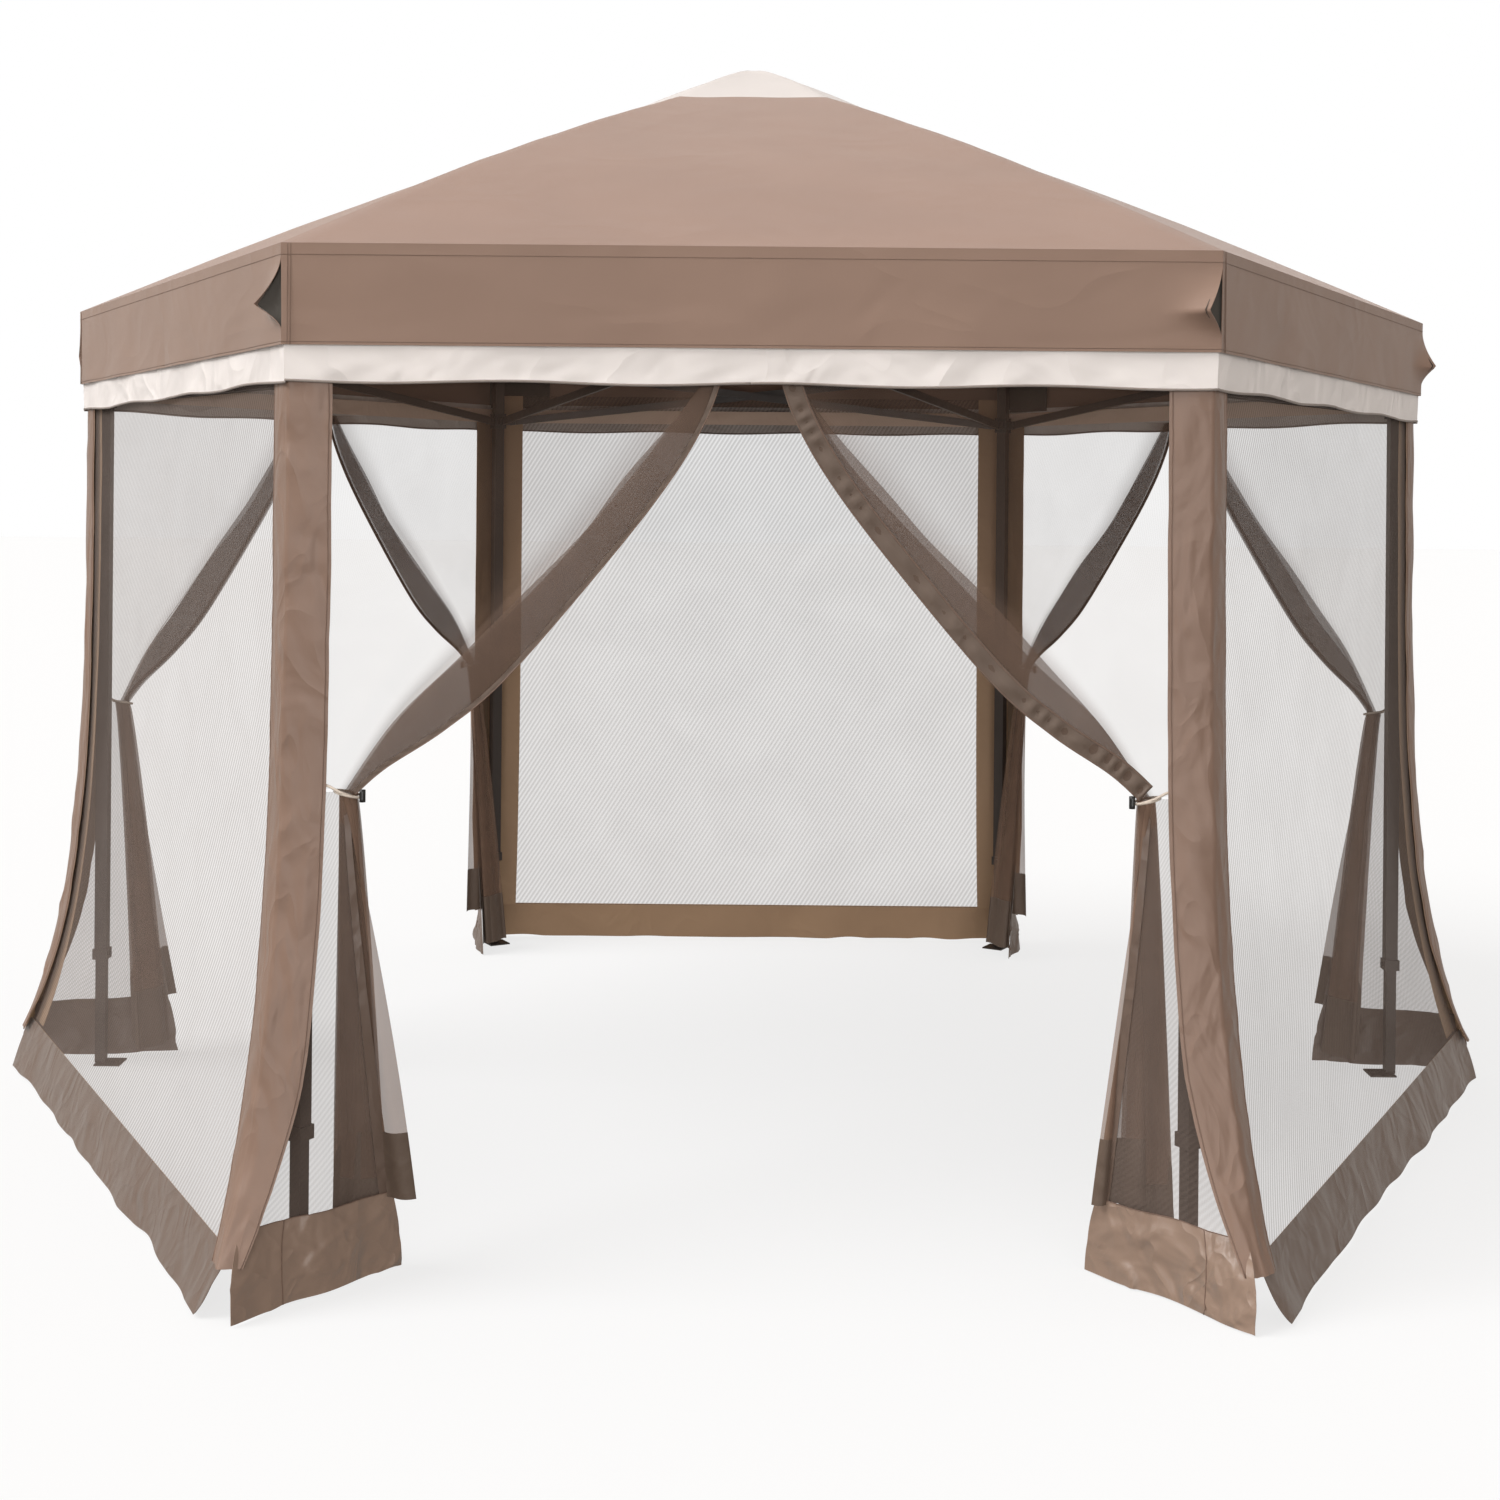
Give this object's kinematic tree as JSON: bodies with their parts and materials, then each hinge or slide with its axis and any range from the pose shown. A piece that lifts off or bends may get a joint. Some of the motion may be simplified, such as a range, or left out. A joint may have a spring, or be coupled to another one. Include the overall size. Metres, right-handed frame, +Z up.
{
  "type": "screen house",
  "caption": "Hexagonal folding screen house: a peaked canopy with a vent cap on a scissor frame with telescoping legs, net walls, split curtain doorways and floor skirts.",
  "frame": {"origin": "on the floor, midway between the six legs", "axes": "+Z up; -Y towards the front doorway; +X to the right, seen from the front"},
  "size_m": [3.926, 3.4, 2.725],
  "materials": {
    "dark_metal": "satin",
    "dark_plastic": "matte",
    "dark_rod": "satin",
    "knob_plastic": "satin",
    "brown_cloth": "matte",
    "pale_cloth": "matte",
    "cream_cloth": "matte",
    "net_cloth": "matte",
    "cord_cloth": "matte"
  },
  "bodies": {
    "hub": {"upper_hub": "dark_plastic", "peak_post": "dark_rod", "canopy_roof": "brown_cloth", "vent_cap": "pale_cloth"},
    "spoke_1": {"spoke_bar_1": "dark_metal"},
    "slide_1": {"slider_1": "dark_plastic"},
    "rising_bar_1": {"side_bar_b_1": "dark_metal"},
    "falling_bar_1": {"side_bar_a_1": "dark_metal"},
    "leg_1": {"leg_post_1": "dark_metal", "net_panel_1": "net_cloth"},
    "foot_1": {"lower_leg_1": "dark_metal"},
    "button_1": {"leg_lock_button_1": "knob_plastic"},
    "latch_1": {"slider_latch_1": "knob_plastic"},
    "spoke_2": {"spoke_bar_2": "dark_metal"},
    "slide_2": {"slider_2": "dark_plastic"},
    "rising_bar_2": {"side_bar_b_2": "dark_metal"},
    "falling_bar_2": {"side_bar_a_2": "dark_metal"},
    "leg_2": {"leg_post_2": "dark_metal", "net_panel_2": "net_cloth"},
    "foot_2": {"lower_leg_2": "dark_metal"},
    "button_2": {"leg_lock_button_2": "knob_plastic"},
    "latch_2": {"slider_latch_2": "knob_plastic"},
    "spoke_3": {"spoke_bar_3": "dark_metal"},
    "slide_3": {"slider_3": "dark_plastic"},
    "rising_bar_3": {"side_bar_b_3": "dark_metal"},
    "falling_bar_3": {"side_bar_a_3": "dark_metal"},
    "leg_3": {"leg_post_3": "dark_metal", "net_panel_3": "net_cloth"},
    "foot_3": {"lower_leg_3": "dark_metal"},
    "button_3": {"leg_lock_button_3": "knob_plastic"},
    "latch_3": {"slider_latch_3": "knob_plastic"},
    "spoke_4": {"spoke_bar_4": "dark_metal"},
    "slide_4": {"slider_4": "dark_plastic"},
    "rising_bar_4": {"side_bar_b_4": "dark_metal"},
    "falling_bar_4": {"side_bar_a_4": "dark_metal"},
    "leg_4": {"leg_post_4": "dark_metal", "net_panel_4": "net_cloth"},
    "foot_4": {"lower_leg_4": "dark_metal"},
    "button_4": {"leg_lock_button_4": "knob_plastic"},
    "latch_4": {"slider_latch_4": "knob_plastic"},
    "spoke_5": {"spoke_bar_5": "dark_metal"},
    "slide_5": {"slider_5": "dark_plastic"},
    "rising_bar_5": {"side_bar_b_5": "dark_metal"},
    "falling_bar_5": {"side_bar_a_5": "dark_metal"},
    "leg_5": {"leg_post_5": "dark_metal", "net_panel_5": "net_cloth"},
    "foot_5": {"lower_leg_5": "dark_metal"},
    "button_5": {"leg_lock_button_5": "knob_plastic"},
    "latch_5": {"slider_latch_5": "knob_plastic"},
    "spoke_6": {"spoke_bar_6": "dark_metal"},
    "slide_6": {"slider_6": "dark_plastic"},
    "rising_bar_6": {"side_bar_b_6": "dark_metal"},
    "falling_bar_6": {"side_bar_a_6": "dark_metal"},
    "leg_6": {"leg_post_6": "dark_metal", "net_panel_6": "net_cloth"},
    "foot_6": {"lower_leg_6": "dark_metal"},
    "button_6": {"leg_lock_button_6": "knob_plastic"},
    "latch_6": {"slider_latch_6": "knob_plastic"}
  },
  "joints": [
    {"name": "frame_fold", "type": "hinge", "parent": "hub", "child": "spoke_1", "pos_m": [-0.025, -0.0433, 2], "axis": [0.866, -0.5, 0], "range_deg": [0, 78.45], "deforming": ["canopy_roof", "vent_cap", "net_panel_1", "net_panel_2", "net_panel_3", "net_panel_4", "net_panel_5", "net_panel_6"]},
    {"name": "slider_turn_1", "type": "hinge", "parent": "spoke_1", "child": "slide_1", "pos_m": [-0.8525, -1.47657, 1.81], "axis": [0.866, -0.5, 0], "range_deg": [-78.45, 0]},
    {"name": "rising_fold_1", "type": "hinge", "parent": "slide_1", "child": "rising_bar_1", "pos_m": [-0.8275, -1.51987, 1.81], "axis": [0, 1, 0], "range_deg": [-78.45, 0]},
    {"name": "leg_turn_2", "type": "hinge", "parent": "rising_bar_1", "child": "leg_2", "pos_m": [0.8275, -1.51987, 2], "axis": [0, 1, 0], "range_deg": [0, 78.45]},
    {"name": "falling_fold_1", "type": "hinge", "parent": "leg_1", "child": "falling_bar_1", "pos_m": [-0.8275, -1.51987, 2], "axis": [0, 1, 0], "range_deg": [0, 78.45]},
    {"name": "leg_height_1", "type": "slide", "parent": "leg_1", "child": "foot_1", "axis": [0, 0, 1], "range_m": [0, 0.24]},
    {"name": "lock_button_1", "type": "slide", "parent": "leg_1", "child": "button_1", "axis": [0.5, 0.866, 0], "range_m": [0, 0.004], "stiffness_N_per_m": 800},
    {"name": "slider_latch_1", "type": "slide", "parent": "slide_1", "child": "latch_1", "axis": [-0.5, -0.866, 0], "range_m": [0, 0.003], "stiffness_N_per_m": 800},
    {"name": "spoke_fold_2", "type": "hinge", "parent": "hub", "child": "spoke_2", "pos_m": [0.025, -0.0433, 2], "axis": [0.866, 0.5, 0], "range_deg": [0, 78.45]},
    {"name": "slider_turn_2", "type": "hinge", "parent": "spoke_2", "child": "slide_2", "pos_m": [0.8525, -1.47657, 1.81], "axis": [0.866, 0.5, 0], "range_deg": [-78.45, 0]},
    {"name": "rising_fold_2", "type": "hinge", "parent": "slide_2", "child": "rising_bar_2", "pos_m": [0.9025, -1.47657, 1.81], "axis": [-0.866, 0.5, 0], "range_deg": [-78.45, 0]},
    {"name": "leg_turn_3", "type": "hinge", "parent": "rising_bar_2", "child": "leg_3", "pos_m": [1.73, -0.0433, 2], "axis": [-0.866, 0.5, 0], "range_deg": [0, 78.45]},
    {"name": "falling_fold_2", "type": "hinge", "parent": "leg_2", "child": "falling_bar_2", "pos_m": [0.9025, -1.47657, 2], "axis": [-0.866, 0.5, 0], "range_deg": [0, 78.45]},
    {"name": "leg_height_2", "type": "slide", "parent": "leg_2", "child": "foot_2", "axis": [0, 0, 1], "range_m": [0, 0.24]},
    {"name": "lock_button_2", "type": "slide", "parent": "leg_2", "child": "button_2", "axis": [-0.5, 0.866, 0], "range_m": [0, 0.004], "stiffness_N_per_m": 800},
    {"name": "slider_latch_2", "type": "slide", "parent": "slide_2", "child": "latch_2", "axis": [0.5, -0.866, 0], "range_m": [0, 0.003], "stiffness_N_per_m": 800},
    {"name": "spoke_fold_3", "type": "hinge", "parent": "hub", "child": "spoke_3", "pos_m": [0.05, 0, 2], "axis": [0, 1, 0], "range_deg": [0, 78.45]},
    {"name": "slider_turn_3", "type": "hinge", "parent": "spoke_3", "child": "slide_3", "pos_m": [1.705, 0, 1.81], "axis": [0, 1, 0], "range_deg": [-78.45, 0]},
    {"name": "rising_fold_3", "type": "hinge", "parent": "slide_3", "child": "rising_bar_3", "pos_m": [1.73, 0.0433, 1.81], "axis": [-0.866, -0.5, 0], "range_deg": [-78.45, 0]},
    {"name": "leg_turn_4", "type": "hinge", "parent": "rising_bar_3", "child": "leg_4", "pos_m": [0.9025, 1.47657, 2], "axis": [-0.866, -0.5, 0], "range_deg": [0, 78.45]},
    {"name": "falling_fold_3", "type": "hinge", "parent": "leg_3", "child": "falling_bar_3", "pos_m": [1.73, 0.0433, 2], "axis": [-0.866, -0.5, 0], "range_deg": [0, 78.45]},
    {"name": "leg_height_3", "type": "slide", "parent": "leg_3", "child": "foot_3", "axis": [0, 0, 1], "range_m": [0, 0.24]},
    {"name": "lock_button_3", "type": "slide", "parent": "leg_3", "child": "button_3", "axis": [-1, 0, 0], "range_m": [0, 0.004], "stiffness_N_per_m": 800},
    {"name": "slider_latch_3", "type": "slide", "parent": "slide_3", "child": "latch_3", "axis": [1, 0, 0], "range_m": [0, 0.003], "stiffness_N_per_m": 800},
    {"name": "spoke_fold_4", "type": "hinge", "parent": "hub", "child": "spoke_4", "pos_m": [0.025, 0.0433, 2], "axis": [-0.866, 0.5, 0], "range_deg": [0, 78.45]},
    {"name": "slider_turn_4", "type": "hinge", "parent": "spoke_4", "child": "slide_4", "pos_m": [0.8525, 1.47657, 1.81], "axis": [-0.866, 0.5, 0], "range_deg": [-78.45, 0]},
    {"name": "rising_fold_4", "type": "hinge", "parent": "slide_4", "child": "rising_bar_4", "pos_m": [0.8275, 1.51987, 1.81], "axis": [0, -1, 0], "range_deg": [-78.45, 0]},
    {"name": "leg_turn_5", "type": "hinge", "parent": "rising_bar_4", "child": "leg_5", "pos_m": [-0.8275, 1.51987, 2], "axis": [0, -1, 0], "range_deg": [0, 78.45]},
    {"name": "falling_fold_4", "type": "hinge", "parent": "leg_4", "child": "falling_bar_4", "pos_m": [0.8275, 1.51987, 2], "axis": [0, -1, 0], "range_deg": [0, 78.45]},
    {"name": "leg_height_4", "type": "slide", "parent": "leg_4", "child": "foot_4", "axis": [0, 0, 1], "range_m": [0, 0.24]},
    {"name": "lock_button_4", "type": "slide", "parent": "leg_4", "child": "button_4", "axis": [-0.5, -0.866, 0], "range_m": [0, 0.004], "stiffness_N_per_m": 800},
    {"name": "slider_latch_4", "type": "slide", "parent": "slide_4", "child": "latch_4", "axis": [0.5, 0.866, 0], "range_m": [0, 0.003], "stiffness_N_per_m": 800},
    {"name": "spoke_fold_5", "type": "hinge", "parent": "hub", "child": "spoke_5", "pos_m": [-0.025, 0.0433, 2], "axis": [-0.866, -0.5, 0], "range_deg": [0, 78.45]},
    {"name": "slider_turn_5", "type": "hinge", "parent": "spoke_5", "child": "slide_5", "pos_m": [-0.8525, 1.47657, 1.81], "axis": [-0.866, -0.5, 0], "range_deg": [-78.45, 0]},
    {"name": "rising_fold_5", "type": "hinge", "parent": "slide_5", "child": "rising_bar_5", "pos_m": [-0.9025, 1.47657, 1.81], "axis": [0.866, -0.5, 0], "range_deg": [-78.45, 0]},
    {"name": "leg_turn_6", "type": "hinge", "parent": "rising_bar_5", "child": "leg_6", "pos_m": [-1.73, 0.0433, 2], "axis": [0.866, -0.5, 0], "range_deg": [0, 78.45]},
    {"name": "falling_fold_5", "type": "hinge", "parent": "leg_5", "child": "falling_bar_5", "pos_m": [-0.9025, 1.47657, 2], "axis": [0.866, -0.5, 0], "range_deg": [0, 78.45]},
    {"name": "leg_height_5", "type": "slide", "parent": "leg_5", "child": "foot_5", "axis": [0, 0, 1], "range_m": [0, 0.24]},
    {"name": "lock_button_5", "type": "slide", "parent": "leg_5", "child": "button_5", "axis": [0.5, -0.866, 0], "range_m": [0, 0.004], "stiffness_N_per_m": 800},
    {"name": "slider_latch_5", "type": "slide", "parent": "slide_5", "child": "latch_5", "axis": [-0.5, 0.866, 0], "range_m": [0, 0.003], "stiffness_N_per_m": 800},
    {"name": "spoke_fold_6", "type": "hinge", "parent": "hub", "child": "spoke_6", "pos_m": [-0.05, 0, 2], "axis": [0, -1, 0], "range_deg": [0, 78.45]},
    {"name": "slider_turn_6", "type": "hinge", "parent": "spoke_6", "child": "slide_6", "pos_m": [-1.705, 0, 1.81], "axis": [0, -1, 0], "range_deg": [-78.45, 0]},
    {"name": "rising_fold_6", "type": "hinge", "parent": "slide_6", "child": "rising_bar_6", "pos_m": [-1.73, -0.0433, 1.81], "axis": [0.866, 0.5, 0], "range_deg": [-78.45, 0]},
    {"name": "leg_turn_1", "type": "hinge", "parent": "rising_bar_6", "child": "leg_1", "pos_m": [-0.9025, -1.47657, 2], "axis": [0.866, 0.5, 0], "range_deg": [0, 78.45]},
    {"name": "falling_fold_6", "type": "hinge", "parent": "leg_6", "child": "falling_bar_6", "pos_m": [-1.73, -0.0433, 2], "axis": [0.866, 0.5, 0], "range_deg": [0, 78.45]},
    {"name": "leg_height_6", "type": "slide", "parent": "leg_6", "child": "foot_6", "axis": [0, 0, 1], "range_m": [0, 0.24]},
    {"name": "lock_button_6", "type": "slide", "parent": "leg_6", "child": "button_6", "axis": [1, 0, 0], "range_m": [0, 0.004], "stiffness_N_per_m": 800},
    {"name": "slider_latch_6", "type": "slide", "parent": "slide_6", "child": "latch_6", "axis": [-1, 0, 0], "range_m": [0, 0.003], "stiffness_N_per_m": 800}
  ],
  "couplings": [
    {"joint": "slider_turn_1", "follows": "frame_fold", "ratio": -1},
    {"joint": "rising_fold_1", "follows": "frame_fold", "ratio": -1},
    {"joint": "leg_turn_2", "follows": "frame_fold", "ratio": 1},
    {"joint": "falling_fold_1", "follows": "frame_fold", "ratio": 1},
    {"joint": "spoke_fold_2", "follows": "frame_fold", "ratio": 1},
    {"joint": "slider_turn_2", "follows": "frame_fold", "ratio": -1},
    {"joint": "rising_fold_2", "follows": "frame_fold", "ratio": -1},
    {"joint": "leg_turn_3", "follows": "frame_fold", "ratio": 1},
    {"joint": "falling_fold_2", "follows": "frame_fold", "ratio": 1},
    {"joint": "spoke_fold_3", "follows": "frame_fold", "ratio": 1},
    {"joint": "slider_turn_3", "follows": "frame_fold", "ratio": -1},
    {"joint": "rising_fold_3", "follows": "frame_fold", "ratio": -1},
    {"joint": "leg_turn_4", "follows": "frame_fold", "ratio": 1},
    {"joint": "falling_fold_3", "follows": "frame_fold", "ratio": 1},
    {"joint": "spoke_fold_4", "follows": "frame_fold", "ratio": 1},
    {"joint": "slider_turn_4", "follows": "frame_fold", "ratio": -1},
    {"joint": "rising_fold_4", "follows": "frame_fold", "ratio": -1},
    {"joint": "leg_turn_5", "follows": "frame_fold", "ratio": 1},
    {"joint": "falling_fold_4", "follows": "frame_fold", "ratio": 1},
    {"joint": "spoke_fold_5", "follows": "frame_fold", "ratio": 1},
    {"joint": "slider_turn_5", "follows": "frame_fold", "ratio": -1},
    {"joint": "rising_fold_5", "follows": "frame_fold", "ratio": -1},
    {"joint": "leg_turn_6", "follows": "frame_fold", "ratio": 1},
    {"joint": "falling_fold_5", "follows": "frame_fold", "ratio": 1},
    {"joint": "spoke_fold_6", "follows": "frame_fold", "ratio": 1},
    {"joint": "slider_turn_6", "follows": "frame_fold", "ratio": -1},
    {"joint": "rising_fold_6", "follows": "frame_fold", "ratio": -1},
    {"joint": "leg_turn_1", "follows": "frame_fold", "ratio": 1},
    {"joint": "falling_fold_6", "follows": "frame_fold", "ratio": 1}
  ]
}
